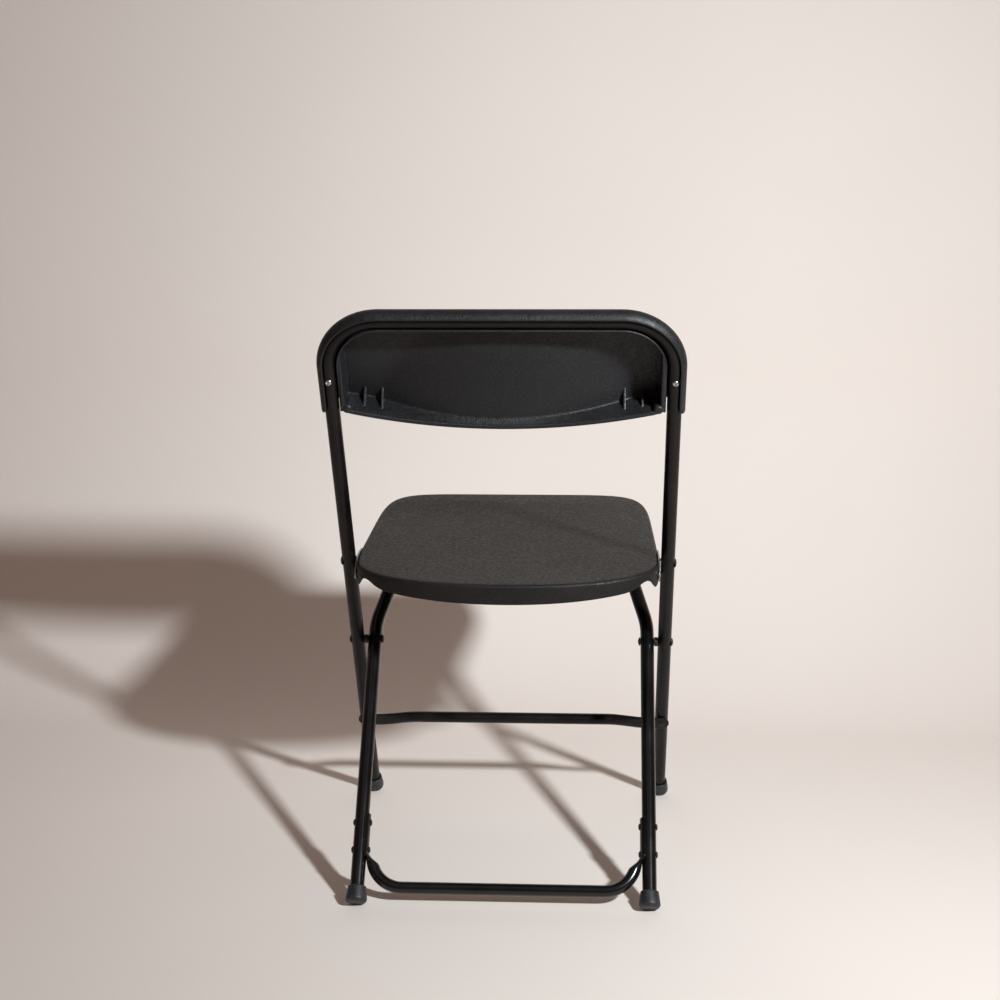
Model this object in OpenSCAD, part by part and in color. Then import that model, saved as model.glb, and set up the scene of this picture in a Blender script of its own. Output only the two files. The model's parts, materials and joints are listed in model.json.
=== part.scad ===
// Folding chair: an upright hoop that is front legs and back frame in one, a rear leg hoop that
// swings inside it, a moulded seat that turns on the uprights, and a moulded backrest.
// Units are millimetres. +Z is up, the sitter faces -Y and +X is the sitter's left.

/* [Upright hoop] */
// Outside diameter of both frame tubes
tube_d = 19; // [18:0.5:20]
// Wall thickness of the frame tubes
tube_wall = 1.4; // [1:0.1:2]
// Distance between the centre lines of the two uprights
upright_span = 435; // [433:1:440]
// Backward lean of the uprights
upright_lean = 25.5; // [24:0.5:27]
// Length of the upright, from the floor along its centre line to the top of the hoop
upright_len = 857; // [845:1:870]
// Bend radius of the top corners, at the centre line
hoop_bend_r = 68; // [60:1:80]

/* [Rear leg hoop] */
// Distance between the centre lines of the two rear legs
leg_span = 386; // [385:0.5:387]
// Lean of the rear legs when the chair stands open
leg_lean = 43; // [41:0.5:44]
// Height of the pivot between the rear legs and the uprights
leg_pivot_h = 286; // [280:1:290]
// Reach of the crossbar above that pivot, measured along the leg
crossbar_reach = 165; // [163:0.5:166]
// Bend radius of the crossbar corners, at the centre line
crossbar_bend_r = 50; // [40:1:60]

/* [Stretchers] */
// Diameter of both stretcher tubes
stretcher_d = 16; // [14:0.5:16]
// Place of the front stretcher along the upright, from the floor
front_stretcher_len = 163; // [150:1:175]
// Place of the rear stretcher below the leg pivot, along the leg
rear_stretcher_drop = 360.5; // [352:0.5:361]
// Bend radius of the rear stretcher at its centre line
rear_stretcher_r = 42; // [36:1:44]

/* [Feet] */
// Length of a rubber foot cap
cap_len = 22; // [18:1:26]
// Largest diameter of a rubber foot cap
cap_d = 28.5; // [26:0.5:30]

/* [Seat] */
// Distance from the leg pivot up to the seat pivot, along the upright
seat_pivot_gap = 148.4; // [147:0.2:150]
// Rise of the seat towards its front edge
seat_tilt = 3.3; // [2:0.1:4]
// Width of the seat
seat_w = 408; // [400:1:409]
// Reach of the front edge ahead of the seat pivot
seat_front = 294; // [280:1:296]
// Reach of the rear edge behind the seat pivot
seat_rear = 117; // [105:1:118]
// Depth of the seat shell from its top to the lower edge of its skirt
seat_depth = 28; // [26:1:30]
// Wall thickness of the seat shell
seat_wall = 3.2; // [2.5:0.1:4]

/* [Backrest] */
// Outer radius of the rim that wraps the hoop tube
rim_r = 14; // [13:0.5:15]
// Wall thickness of the backrest shell
back_wall = 3.2; // [2.5:0.1:4]
// Place of the lower ends of the rim along the upright
rim_low = 722; // [715:1:730]
// Radius of the bow of the panel from side to side
bow_r = 538; // [500:1:600]
// Lean of the middle of the panel ahead of the uprights
panel_tilt = 10; // [8:0.5:11]
// Depth of the panel border ahead of the centre line of the tubes
panel_front = 31.8; // [28:0.2:32]
// Place of the lowest point of the panel along the upright
panel_low = 697; // [695:1:700]

/* [Fasteners] */
// Diameter of the pivot rivet shanks
pivot_d = 8; // [7:0.5:9]
// Diameter of the stretcher rivet shanks
rivet_d = 5; // [4:0.5:6]
// Place of the backrest screws along the upright
screw_len = 770; // [765:1:775]

/* [Hidden] */

$fn = 64;
eps = 0.01;
running_gap = 0.05;       // radial clearance of a pin that turns in its hole
body_gap = 0.3;           // clearance between faces of parts that move past each other
tube_r = tube_d / 2;
half_up = upright_span / 2;
half_leg = leg_span / 2;
tube_black = [0.09, 0.08, 0.08];
plastic_black = [0.13, 0.13, 0.14];
steel = [0.75, 0.76, 0.78];
rubber_black = [0.16, 0.16, 0.17];

// The floor point of the uprights sits this far ahead of the middle of the whole chair
foot_y = -155.45;
leg_pivot_len = leg_pivot_h / cos(upright_lean);
seat_pivot_len = leg_pivot_len + seat_pivot_gap;

cap_top_r = tube_r + 2.8;
cap_edge_r = 5;
cap_floor = 6;            // rubber between the end of the tube and the floor
cap_bite = 1;             // how far the edge of a cap is flattened by the floor

// Distance from the floor point of a leg axis to the bottom face of its cap
function cap_lift(lean) =
    ((cap_d / 2 - cap_edge_r) * sin(lean) + cap_edge_r - cap_bite) / cos(lean) - cap_edge_r;

// ---------- frames of reference ----------
// Upright frame: z runs up along the uprights, y points backward out of their plane
module on_uprights() { translate([0, foot_y, 0]) rotate([-upright_lean, 0, 0]) children(); }
// Leg frame: origin on the leg pivot, z runs up along the rear legs
module on_legs()
    on_uprights() translate([0, 0, leg_pivot_len])
        rotate([upright_lean + leg_lean, 0, 0]) children();
// Seat frame: origin on the seat pivot, -y runs forward along the seat, z is its upper side
module on_seat()
    on_uprights() translate([0, 0, seat_pivot_len])
        rotate([upright_lean - seat_tilt, 0, 0]) children();
module both_sides() { children(); mirror([1, 0, 0]) children(); }
module along_x() { rotate([0, 90, 0]) children(); }

// ---------- shared shapes ----------
// Round bend in the XZ plane that starts at the origin going up and turns towards -X
module bend(d, r, angle) translate([-r, 0, 0]) rotate([90, 0, 0]) intersection() {
    rotate_extrude(angle = 90) translate([r, 0]) circle(d = d);
    if (angle < 90) rotate(angle) translate([0, -2 * r, -r]) cube(2 * r);
}
// Hole across the whole chair at one height
module cross_bore(d, z)
    translate([-half_up - tube_d, 0, z]) along_x() cylinder(d = d, h = upright_span + 2 * tube_d);
module rivet(d, head_d, head_h, length, inner_d) {
    cylinder(d = d, h = length);
    translate([0, 0, length]) rivet_head(head_d, head_h);
    mirror([0, 0, 1]) rivet_head(is_undef(inner_d) ? head_d : inner_d, head_h);
}
module rivet_head(d, h) {
    ball_r = (d * d / 4 + h * h) / (2 * h);
    intersection() {
        translate([0, 0, h - ball_r]) sphere(r = ball_r);
        cylinder(d = d, h = h);
    }
}
// Rubber cap with its bottom face at z = 0 and its mouth up
module cap_body() {
    r = cap_d / 2;
    arc = [for (a = [0 : 15 : 90]) [r - cap_edge_r + cap_edge_r * sin(a), cap_edge_r * (1 - cos(a))]];
    rotate_extrude() polygon(concat(
        [[0, 0]], arc,
        [[cap_top_r, cap_len - 1], [cap_top_r - 0.8, cap_len], [tube_r, cap_len], [tube_r, cap_floor],
         [0, cap_floor]]));
}
module above_floor(y) { translate([-400, y - 400, 0]) cube([800, 800, 200]); }

// ---------- upright hoop ----------
module hoop_path(d, low) both_sides() {
    bend_at = upright_len - hoop_bend_r;
    translate([half_up, 0, bend_at]) mirror([0, 0, 1]) cylinder(d = d, h = bend_at - low);
    translate([half_up, 0, bend_at]) bend(d, hoop_bend_r, 90);
    translate([0, 0, upright_len]) along_x() cylinder(d = d, h = half_up - hoop_bend_r);
}
module upright_hoop() color(tube_black) on_uprights() {
    low = cap_lift(upright_lean) + cap_floor;
    difference() {
        hoop_path(tube_d, low);
        hoop_path(tube_d - 2 * tube_wall, low);
        for (z = [leg_pivot_len, seat_pivot_len]) cross_bore(pivot_d, z);
        both_sides() {
            translate([half_up, tube_d, front_stretcher_len]) rotate([90, 0, 0])
                cylinder(d = rivet_d, h = 2 * tube_d);
            translate([half_up, tube_d, screw_len]) rotate([90, 0, 0])
                cylinder(d = screw_d, h = 2 * tube_d);
        }
    }
}

// ---------- front stretcher ----------
flat_t = 3;               // thickness of the flattened ends
flat_w = 21;              // height of the flattened ends
flat_in = 195;            // where the flattened stretch begins, from the middle
round_in = 160;           // where the round stretch ends, from the middle
stretcher_off = tube_r + flat_t - stretcher_d / 2;
module front_stretcher() color(tube_black) on_uprights() {
    translate([0, stretcher_off, front_stretcher_len]) difference() {
        along_x() cylinder(d = stretcher_d, h = 2 * round_in, center = true);
        along_x() cylinder(d = stretcher_d - 2 * tube_wall, h = 2 * round_in + 1, center = true);
    }
    both_sides() {
        translate([0, stretcher_off, front_stretcher_len]) stretcher_neck();
        difference() {
            translate([0, tube_r, front_stretcher_len]) rotate([-90, 0, 0])
                linear_extrude(flat_t) stretcher_tab();
            translate([half_up, tube_d, front_stretcher_len]) rotate([90, 0, 0])
                cylinder(d = rivet_d, h = tube_d);
        }
    }
}
module stretcher_tab() {
    translate([flat_in, -flat_w / 2]) square([half_up - flat_in, flat_w]);
    translate([half_up, 0]) circle(d = flat_w);
}
// Tapered stretch between the round tube and its flattened end
module stretcher_neck() hull() {
    translate([round_in, 0, 0]) along_x() cylinder(d = stretcher_d, h = eps, $fn = 32);
    translate([flat_in, stretcher_d / 2 - flat_t, -flat_w / 2]) cube([eps, flat_t, flat_w]);
}
module front_stretcher_rivets() color(tube_black) on_uprights() both_sides()
    translate([half_up, tube_r + flat_t, front_stretcher_len]) rotate([90, 0, 0])
        rivet(rivet_d, 9, 2, tube_d + flat_t);

// ---------- feet ----------
module front_foot() color(rubber_black) intersection() {
    on_uprights() translate([half_up, 0, cap_lift(upright_lean)]) cap_body();
    above_floor(foot_y);
}
module rear_foot() color(rubber_black) intersection() {
    on_legs() translate([half_leg, 0, cap_lift(leg_lean) - leg_pivot_h / cos(leg_lean)]) cap_body();
    above_floor(foot_y + 400);
}
module front_left_foot() { front_foot(); }
module front_right_foot() { mirror([1, 0, 0]) front_foot(); }
module rear_left_foot() { rear_foot(); }
module rear_right_foot() { mirror([1, 0, 0]) rear_foot(); }

// ---------- pivots ----------
seat_half = seat_w / 2;
bracket_t = 2;
bracket_in = seat_half + body_gap;
module seat_pivot_rivets() color(tube_black) on_uprights() both_sides() {
    inner = seat_half - seat_wall - body_gap;
    translate([inner, 0, seat_pivot_len]) along_x()
        rivet(pivot_d, 13, 2.6, half_up + tube_r - inner, 9);
}
module seat_pivot_washers() color(steel) on_uprights() both_sides()
    translate([bracket_in + bracket_t + body_gap, 0, seat_pivot_len]) along_x()
        difference() {
            gap = half_up - tube_r - bracket_in - bracket_t - body_gap;
            cylinder(d = 14, h = gap);
            translate([0, 0, -1]) cylinder(d = pivot_d, h = gap + 2);
        }
module leg_pivot_rivets() color(tube_black) on_uprights() both_sides() {
    inner = half_leg - tube_r - body_gap;
    translate([inner, 0, leg_pivot_len]) along_x()
        rivet(pivot_d, 12, 2.8, half_up + tube_r - inner);
}
module leg_pivot_spacers() color(rubber_black) on_uprights() both_sides()
    translate([half_leg + tube_r + body_gap, 0, leg_pivot_len]) along_x()
        difference() {
            gap = half_up - half_leg - tube_d - body_gap;
            cylinder(d = 13, h = gap);
            translate([0, 0, -1]) cylinder(d = pivot_d, h = gap + 2);
        }

// ---------- rear leg hoop ----------
shoulder_at = 12;         // height above the pivot at which the legs start to draw in
shoulder_angle = asin(0.28);
shoulder_r = 100;
corner_angle = 90 - shoulder_angle;
corner_rise = crossbar_bend_r * (1 - sin(shoulder_angle));
slope_rise = crossbar_reach - shoulder_at - shoulder_r * sin(shoulder_angle) - corner_rise;
slope_len = slope_rise / cos(shoulder_angle);
crossbar_len = leg_span / 2;
module after_bend(r, angle)
    translate([-r * (1 - cos(angle)), 0, r * sin(angle)]) rotate([0, -angle, 0]) children();
module leg_path(d, low) both_sides() intersection() {
    translate([half_leg, 0, shoulder_at]) {
        mirror([0, 0, 1]) cylinder(d = d, h = low + shoulder_at);
        bend(d, shoulder_r, shoulder_angle);
        after_bend(shoulder_r, shoulder_angle) {
            cylinder(d = d, h = slope_len);
            translate([0, 0, slope_len]) {
                bend(d, crossbar_bend_r, corner_angle);
                after_bend(crossbar_bend_r, corner_angle) cylinder(d = d, h = crossbar_len);
            }
        }
    }
    translate([0, -tube_d, -leg_span]) cube([leg_span, 2 * tube_d, 2 * leg_span]);
}
module rear_leg_hoop() color(tube_black) on_legs() {
    low = leg_pivot_h / cos(leg_lean) - cap_lift(leg_lean) - cap_floor;
    difference() {
        leg_path(tube_d, low);
        leg_path(tube_d - 2 * tube_wall, low);
        cross_bore(pivot_d + 2 * running_gap, 0);
        for (z = rear_rivets) cross_bore(rivet_d, -z);
    }
}

// ---------- rear stretcher ----------
rear_rivets = [272, 310];
saddle_top = 261;
saddle_low = 319;
saddle_t = 2.6;
saddle_angle = 62;
module stretcher_path(d) both_sides() {
    run = half_leg - tube_r - stretcher_d / 2;
    translate([0, 0, -rear_stretcher_drop]) along_x() cylinder(d = d, h = run - rear_stretcher_r);
    translate([run, 0, rear_stretcher_r - rear_stretcher_drop]) mirror([0, 0, 1])
        bend(d, rear_stretcher_r, 90);
}
module rear_stretcher() color(tube_black) on_legs() difference() {
    union() {
        difference() {
            stretcher_path(stretcher_d);
            stretcher_path(stretcher_d - 2 * tube_wall);
        }
        both_sides() translate([half_leg, 0, -saddle_low])
            linear_extrude(saddle_low - saddle_top) saddle_section();
    }
    for (z = rear_rivets) cross_bore(rivet_d, -z);
}
// Tube end crushed round the inner side of the leg
module saddle_section() difference() {
    intersection() {
        circle(r = tube_r + saddle_t);
        polygon([[0, 0], for (a = [-1, 1]) 2 * tube_d * [-cos(saddle_angle), a * sin(saddle_angle)]]);
    }
    circle(r = tube_r);
}
module rear_stretcher_rivets() color(tube_black) on_legs() both_sides() {
    inner = half_leg - tube_r - saddle_t;
    for (z = rear_rivets) translate([inner, 0, -z]) along_x()
        rivet(rivet_d, 9, 2.2, half_leg + tube_r - inner);
}

// ---------- seat ----------
seat_top = 8;             // height of the seat surface above the pivot
front_from = 45;          // the side starts to curve this far ahead of the pivot
rear_from = -20;          // and this far behind it
front_taper = 10;
front_power = 2 / 7;      // squareness of the front corners, less for squarer
rear_power = 2 / 2.2;     // and of the rear corners
skirt_rise = 0.00024;     // rise of the rear skirt's lower edge, times the distance from the middle squared
// Half outline of the seat, from the front edge round the side to the rear edge
function seat_side(inset) = let(w = seat_half - inset) concat(
    [for (a = [90 : -5 : 0]) let(u = pow(sin(a), front_power))
        [(w - front_taper * u) * pow(cos(a), front_power),
            -front_from - (seat_front - front_from - inset) * u]],
    [for (a = [0 : 6 : 90])
        [w * pow(cos(a), rear_power),
            -rear_from + (seat_rear + rear_from - inset) * pow(sin(a), rear_power)]]);
module seat_outline(inset) {
    polygon(seat_side(inset));
    mirror([1, 0]) polygon(seat_side(inset));
}
rib_t = 2.4;
rib_low = 9;              // depth of the ribs below the pivot
rail_x = 75;
rail_w = 18;
rail_t = 3;
rail_low = 13.5;          // underside of the glide rails below the pivot
rail_rear = 2;            // rear end of a rail ahead of the seat pivot
rail_front = 190;
rail_screw_at = [50, 142];
rail_screw_d = 4;
rail_screw_len = 14;
module seat_shell() color(plastic_black) on_seat() difference() {
    union() {
        difference() {
            translate([0, 0, seat_top - seat_depth]) linear_extrude(seat_depth) seat_outline(0);
            translate([0, 0, seat_top - seat_depth - 1])
                linear_extrude(seat_depth + 1 - seat_wall) seat_outline(seat_wall);
        }
        seat_ribs();
        rail_beds();
    }
    along_x() cylinder(d = pivot_d + 1, h = seat_w + 2, center = true);
    skirt_arch();
    both_sides() {
        leg_notch();
        translate([rail_x, 0, 0]) for (s = rail_screw_at)
            translate([0, -s, -rail_low]) cylinder(d = rail_screw_d, h = rail_screw_len);
        for (p = bracket_rivets) translate([seat_half - 10, -p[0], p[1]]) along_x()
            cylinder(d = rivet_d, h = 20);
    }
}
module seat_ribs() intersection() {
    translate([0, 0, -rib_low]) linear_extrude(rib_low + seat_top - seat_wall)
        seat_outline(seat_wall - 0.2);
    union() {
        both_sides() for (x = [30, 112, 150])
            translate([x - rib_t / 2, -seat_front, -rib_low]) cube([rib_t, seat_front + seat_rear, 40]);
        for (s = [-84 : 52 : 262])
            translate([-seat_half, -s - rib_t / 2, -rib_low]) cube([seat_w, rib_t, 40]);
    }
}
// Solid moulded pads that carry the glide rails
module rail_beds() both_sides()
    translate([rail_x - rail_w / 2, -rail_front, rail_t - rail_low])
        cube([rail_w, rail_front - rail_rear, rail_low - rail_t + seat_top - 1]);
// Arch under the rear skirt, which is deepest in the middle
module skirt_arch() translate([0, seat_rear + 1, seat_top - seat_depth]) rotate([90, 0, 0])
    linear_extrude(76) polygon(concat([[-170, -1]],
        [for (x = [-170 : 17 : 170]) [x, skirt_rise * x * x]], [[170, -1]]));
// Opening in the rear corner of the skirt that the rear leg enters when the chair folds
module leg_notch() translate([0, seat_rear + 1, seat_top]) rotate([90, 0, 0])
    linear_extrude(76) translate([0, -seat_depth]) {
        translate([186, 4]) circle(r = 12);
        polygon([[163, -1], [176, 10.5], [194, 12], [198.5, -1]]);
    }

bracket_rivets = [[-24, -9], [33, -2]];
module seat_bracket() color(steel) on_seat() difference() {
    translate([bracket_in, 0, 0]) rotate([90, 0, 90]) linear_extrude(bracket_t) {
        polygon([[-44, -8], [-44, 4], [-11, 9], [11, 9], [34, -3], [34, -16], [22, -18]]);
    }
    along_x() cylinder(d = pivot_d + 2 * running_gap, h = seat_w + 20, center = true);
    for (p = bracket_rivets) translate([seat_half - 10, -p[0], p[1]]) along_x()
        cylinder(d = rivet_d, h = 20);
}
module left_seat_bracket() { seat_bracket(); }
module right_seat_bracket() { mirror([1, 0, 0]) seat_bracket(); }
module seat_bracket_rivets() color(steel) on_seat() both_sides()
    for (p = bracket_rivets)
        translate([seat_half - seat_wall - 2 * body_gap, -p[0], p[1]]) along_x()
            rivet(rivet_d, 8, 1.2, seat_wall + 3 * body_gap + bracket_t);

// ---------- glide rails ----------
stop_drop = 15;
module glide_rail() color(steel) on_seat() difference() {
    translate([rail_x - rail_w / 2, 0, -rail_low]) {
        translate([0, -rail_front, 0]) cube([rail_w, rail_front - rail_rear, rail_t]);
        for (s = [rail_rear + rail_t, rail_front])
            translate([0, -s, -stop_drop]) cube([rail_w, rail_t, stop_drop + rail_t]);
    }
    for (s = rail_screw_at) translate([rail_x, -s, -rail_low]) rail_screw_shape();
}
module rail_screw_shape() {
    cylinder(d1 = 2 * rail_screw_d, d2 = rail_screw_d, h = 2);
    cylinder(d = rail_screw_d, h = rail_screw_len);
}
module left_glide_rail() { glide_rail(); }
module right_glide_rail() { mirror([1, 0, 0]) glide_rail(); }
module glide_rail_screws() color(steel) on_seat() both_sides()
    for (s = rail_screw_at) translate([rail_x, -s, -rail_low]) rail_screw_shape();

// ---------- backrest ----------
screw_d = 5;
screw_reach = 17.8;       // how far the screws reach ahead of the tube centre
wrap_angle = 54;          // how far the rim wraps towards the back
bow_back = -1;            // front face of the middle of the panel at its lowest point
nose_in = 10.4;           // centre of the rounded front edge, inward from the tube centre
nose_r = 3.6;
edge_drop = 25;           // rise of the lower edge from its middle to its ends
edge_half = 200;
edge_r = (edge_half * edge_half + edge_drop * edge_drop) / (2 * edge_drop);
flange_back = 9;          // rear edge of the lower flange behind the tube centre
flange_t = 9;             // height of the lower flange
cheek_in = 200;           // inner face of the cheeks beside the tubes
cheek_back = 6;           // how far the inner wall of the rim runs behind the tube centre
web_in = rim_r - back_wall / 2;
corner_r = 6;             // radius of the lower corners of the panel

// Outer outline of the rim: round over the tube and drawn forward to the border of the panel
module rim_outline(inset) hull() {
    circle(r = rim_r - inset);
    translate([-nose_in, nose_r - panel_front]) circle(r = nose_r - inset);
}
// Section of the rim: x points outward from the hoop, y points backward
module rim_section() {
    difference() {
        rim_outline(0);
        rim_outline(back_wall);
        polygon([[0, 0], 2 * tube_d * [cos(wrap_angle), sin(wrap_angle)], [0, 3 * tube_d],
            [-3 * tube_d, 3 * tube_d], [-3 * tube_d, 0]]);
    }
    translate([-rim_r, nose_r - panel_front])
        square([back_wall, panel_front - nose_r + cheek_back]);
}
module rim() {
    bend_at = upright_len - hoop_bend_r;
    both_sides() {
        translate([half_up, 0, rim_low]) linear_extrude(bend_at - rim_low) rim_section();
        translate([half_up - hoop_bend_r, 0, bend_at]) rotate([90, 0, 0])
            rotate_extrude(angle = 90) translate([hoop_bend_r, 0]) mirror([0, 1]) rim_section();
        translate([0, 0, upright_len]) along_x() linear_extrude(half_up - hoop_bend_r)
            rotate(180) rim_section();
    }
}
module panel_outline() offset(r = corner_r) offset(delta = -corner_r) intersection() {
    translate([-half_up + web_in, panel_low])
        square([upright_span - 2 * web_in, upright_len - panel_low]);
    translate([0, panel_low + edge_r]) circle(r = edge_r, $fn = 360);
    union() {
        translate([-half_up + web_in, 0])
            square([upright_span - 2 * web_in, upright_len - hoop_bend_r]);
        translate([hoop_bend_r - half_up, 0])
            square([upright_span - 2 * hoop_bend_r, upright_len - web_in]);
        both_sides() translate([half_up - hoop_bend_r, upright_len - hoop_bend_r])
            circle(r = hoop_bend_r - web_in);
    }
}
// Outline of the hollow behind the panel, inside its lower flange and its side cheeks
module pocket_outline() intersection() {
    translate([0, panel_low + edge_r]) circle(r = edge_r - flange_t, $fn = 360);
    translate([-cheek_in, 0]) square([2 * cheek_in, 2 * upright_len]);
}
module upright_slab(front, back) translate([0, back, 0]) rotate([90, 0, 0])
    linear_extrude(back - front) children();
// Everything that lies behind the front face of the leaning, bowed panel
module behind_panel(step) difference() {
    translate([-half_up, step - panel_front, panel_low - 1])
        cube([upright_span, 2 * panel_front, upright_len - panel_low + 2]);
    translate([0, bow_back + step, panel_low]) rotate([panel_tilt, 0, 0])
        translate([0, -bow_r, -upright_len / 2]) cylinder(r = bow_r, h = upright_len, $fn = 180);
}
module backrest_shell() color(plastic_black) on_uprights() difference() {
    union() {
        rim();
        difference() {
            intersection() {
                behind_panel(0);
                upright_slab(-2 * panel_front, flange_back) panel_outline();
            }
            intersection() {
                behind_panel(back_wall);
                upright_slab(-2 * panel_front, panel_front) pocket_outline();
            }
        }
        both_sides() for (x = [155, 177.5]) intersection() {
            translate([x - 1.2, 0, 0]) rotate([90, 0, 90]) linear_extrude(2.4)
                polygon([[-panel_front, 715], [-5, 715], [-5, 722], [-29, 737.5], [-panel_front, 737.5]]);
            behind_panel(1);
        }
    }
    both_sides() translate([half_up, 0, screw_len]) rotate([90, 0, 0])
        cylinder(d = screw_d, h = screw_reach);
}
module backrest_screws() color(steel) on_uprights() both_sides()
    translate([half_up, tube_r + 0.2, screw_len]) rotate([90, 0, 0]) difference() {
        union() {
            cylinder(d = screw_d, h = tube_r + 0.2 + screw_reach);
            mirror([0, 0, 1]) rivet_head(8.5, 2.4);
        }
        for (a = [0, 90]) rotate(a) translate([-2.4, -0.5, -3]) cube([4.8, 1, 2]);
    }

upright_hoop();
front_stretcher();
front_stretcher_rivets();
front_left_foot();
front_right_foot();
backrest_shell();
backrest_screws();
seat_pivot_rivets();
seat_pivot_washers();
leg_pivot_rivets();
leg_pivot_spacers();
rear_leg_hoop();
rear_stretcher();
rear_stretcher_rivets();
rear_left_foot();
rear_right_foot();
seat_shell();
left_seat_bracket();
right_seat_bracket();
seat_bracket_rivets();
left_glide_rail();
right_glide_rail();
glide_rail_screws();
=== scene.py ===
"""Folding chair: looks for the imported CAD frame. Units are metres, in the frame of the CAD part.

Each visible piece is rebuilt from a few driving dimensions and from the joints of the record:
A is the seat pivot, B the pivot of the rear legs, and both lie on the line of the uprights.
"""
import json
import math

import bmesh
import bpy
import numpy as np
from mathutils import Matrix, Vector


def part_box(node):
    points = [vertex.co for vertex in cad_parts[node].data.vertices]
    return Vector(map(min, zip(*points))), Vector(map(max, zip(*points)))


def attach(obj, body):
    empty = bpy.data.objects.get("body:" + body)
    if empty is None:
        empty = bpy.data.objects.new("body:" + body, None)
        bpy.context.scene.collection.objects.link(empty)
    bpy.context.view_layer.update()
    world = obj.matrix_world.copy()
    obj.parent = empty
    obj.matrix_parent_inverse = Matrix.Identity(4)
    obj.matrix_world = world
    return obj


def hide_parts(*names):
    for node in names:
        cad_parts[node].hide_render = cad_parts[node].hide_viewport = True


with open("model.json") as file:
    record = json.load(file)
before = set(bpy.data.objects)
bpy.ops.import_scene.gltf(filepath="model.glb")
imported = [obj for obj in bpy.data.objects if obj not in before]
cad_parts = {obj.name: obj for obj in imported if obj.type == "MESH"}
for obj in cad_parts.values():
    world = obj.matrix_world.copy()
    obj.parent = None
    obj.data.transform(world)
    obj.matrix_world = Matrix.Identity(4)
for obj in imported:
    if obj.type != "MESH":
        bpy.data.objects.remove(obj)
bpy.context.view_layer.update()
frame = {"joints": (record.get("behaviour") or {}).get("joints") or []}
JOINTS = {j["name"]: j for j in frame["joints"]}
A = np.array(JOINTS["seat_fold"]["pos_m"])
B = np.array(JOINTS["rear_legs_fold"]["pos_m"])

# ---------- driving dimensions, in metres ----------
TUBE_R = 0.0095
HALF_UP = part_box("upright_hoop")[1].x - TUBE_R      # upright centre line from the middle
HALF_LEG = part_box("rear_leg_hoop")[1].x - TUBE_R    # rear leg centre line from the middle
SEAT_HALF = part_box("seat_shell")[1].x
HOOP_LEN = 0.857            # floor to the top of the hoop, along the uprights
HOOP_BEND_R = 0.068
LEG_LEAN = math.radians(43)
SEAT_TILT = math.radians(3.3)
SEAT_WALL = 0.0032
CAP_LEN = 0.022
CAP_R = 0.01425             # rubber cap near the floor
CAP_TOP_R = 0.0123          # rubber cap at its mouth
CAP_EDGE_R = 0.005          # rounding of the cap's lower edge
CAP_FLOOR = 0.006           # rubber under the end of the tube
CAP_BITE = 0.001            # wear that flattens the cap where it meets the floor
STRETCHER_R = 0.008
STRETCHER_AT = 0.163        # front stretcher, along the uprights
TAB_T = 0.003               # flattened ends of the front stretcher
SCREW_AT = 0.770            # backrest screws, along the uprights
BRACKET_T = 0.002
TURN_GAP = 0.0003           # between parts that turn on each other
SMALL_SHANK_R = 0.0025
SIDES = (1, -1)


def around(count):
    """Angles of `count` points round a full turn."""
    return np.linspace(0, 2 * math.pi, count + 1)[:-1]


ROUND = around(48)


class Axes:
    """A local frame: x across the chair, y backward and z along the part, round an origin."""

    def __init__(self, origin, z_dir):
        self.origin = np.array(origin, float)
        self.x = np.array([1.0, 0.0, 0.0])
        self.z = np.array(z_dir, float) / np.linalg.norm(z_dir)
        self.y = np.cross(self.z, self.x)

    def place(self, points):
        p = np.asarray(points, float)
        return self.origin + p[..., :1] * self.x + p[..., 1:2] * self.y + p[..., 2:3] * self.z


RISE = (A - B) / np.linalg.norm(A - B)
UPRIGHTS = Axes(B - RISE * (B[2] / RISE[2]), RISE)
LEGS = Axes(B, (0, -math.sin(LEG_LEAN), math.cos(LEG_LEAN)))
SEAT = Axes(A, (0, math.sin(SEAT_TILT), math.cos(SEAT_TILT)))
LEG_PIVOT_LEN = np.linalg.norm(B - UPRIGHTS.origin)
SEAT_PIVOT_LEN = np.linalg.norm(A - UPRIGHTS.origin)
LEAN = math.atan2(RISE[1], RISE[2])


# ---------- mesh helpers ----------
def smoothstep(t):
    t = np.clip(t, 0, 1)
    return t * t * (3 - 2 * t)


def mesh_piece(name, verts, faces, sharp):
    mesh = bpy.data.meshes.new(name)
    mesh.from_pydata([tuple(v) for v in verts], [], faces)
    mesh.validate()
    bm = bmesh.new()
    bm.from_mesh(mesh)
    bmesh.ops.remove_doubles(bm, verts=bm.verts, dist=1e-6)
    bmesh.ops.recalc_face_normals(bm, faces=bm.faces)
    bm.to_mesh(mesh)
    bm.free()
    obj = bpy.data.objects.new(name, mesh)
    bpy.context.scene.collection.objects.link(obj)
    smooth(obj, sharp)
    return obj


def smooth(obj, sharp):
    """Smooth shading, with edges kept sharp above that angle in degrees."""
    obj.data.polygons.foreach_set("use_smooth", [True] * len(obj.data.polygons))
    obj.data.set_sharp_from_angle(angle=math.radians(sharp))


def quads(a, b, count):
    """Faces between two rings of `count` points that start at a and b."""
    return [(a + j, a + (j + 1) % count, b + (j + 1) % count, b + j) for j in range(count)]


def ring_faces(rings, count, start):
    """Quads between successive rings of `count` points, and a cap at each end."""
    faces = []
    for i in range(rings - 1):
        faces += quads(start + i * count, start + (i + 1) * count, count)
    faces.append(tuple(range(start + count - 1, start - 1, -1)))
    last = start + (rings - 1) * count
    faces.append(tuple(range(last, last + count)))
    return faces


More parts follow.
